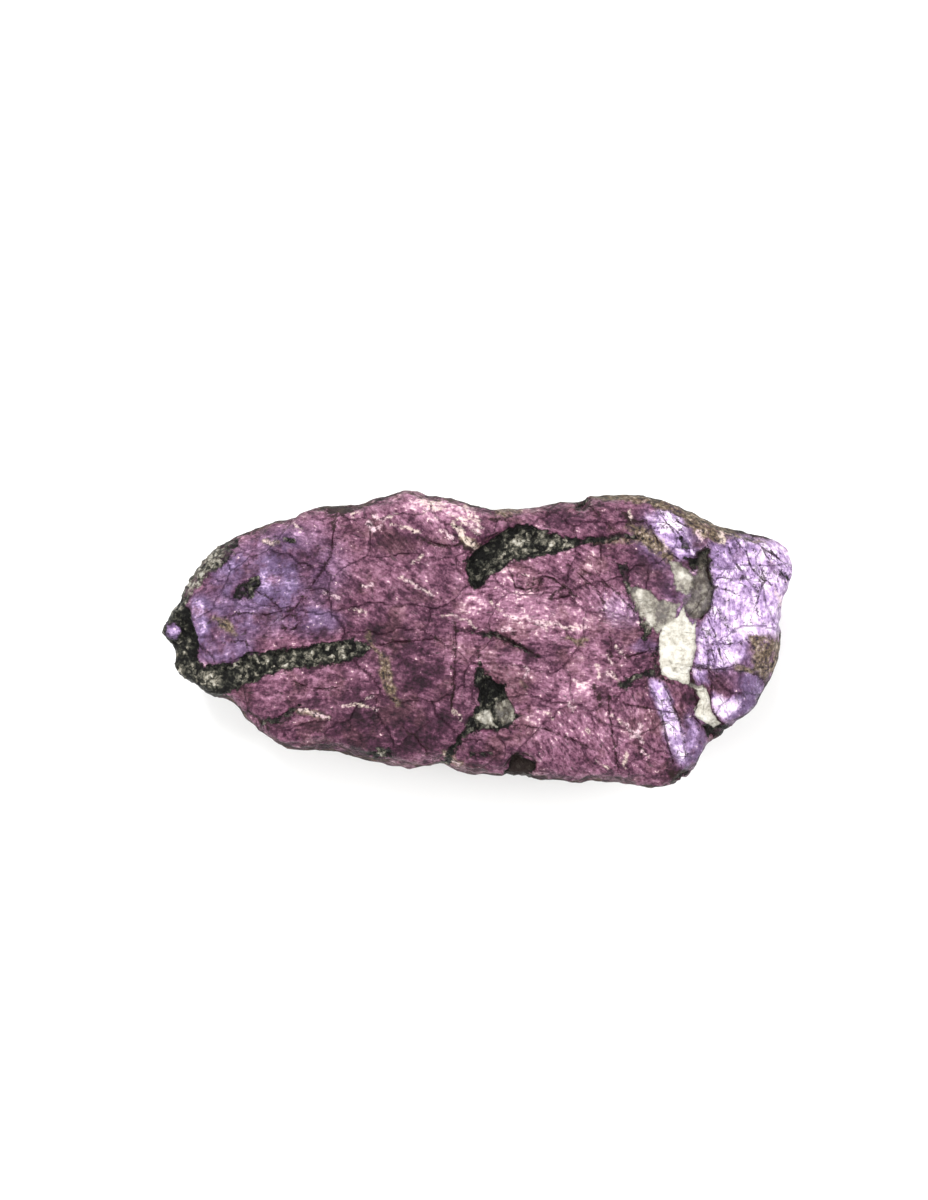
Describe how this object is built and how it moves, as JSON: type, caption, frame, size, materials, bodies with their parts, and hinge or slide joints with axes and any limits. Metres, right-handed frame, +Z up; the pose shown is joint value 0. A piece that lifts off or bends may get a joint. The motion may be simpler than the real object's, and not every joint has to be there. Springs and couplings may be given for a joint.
{
  "type": "mineral specimen",
  "caption": "Loose hand specimen of purpurite: a long flattish stone with a worn purple face, weathered dark veins, a strip of quartz and a small flat spot that it rests on.",
  "frame": {"origin": "on the resting surface, under the middle of the stone's bounding box", "axes": "+X along the stone from its narrow end to its broad end, +Y across it towards the side that is at the top of the picture, +Z up out of its best face"},
  "size_m": [0.0788, 0.0372, 0.0179],
  "materials": {
    "stone": "silky purple phosphate worn semi-matt, with violet and plum patches, dark green-black veins, pale grains and white quartz"
  },
  "bodies": {
    "root": {"purpurite": "stone"}
  },
  "joints": []
}
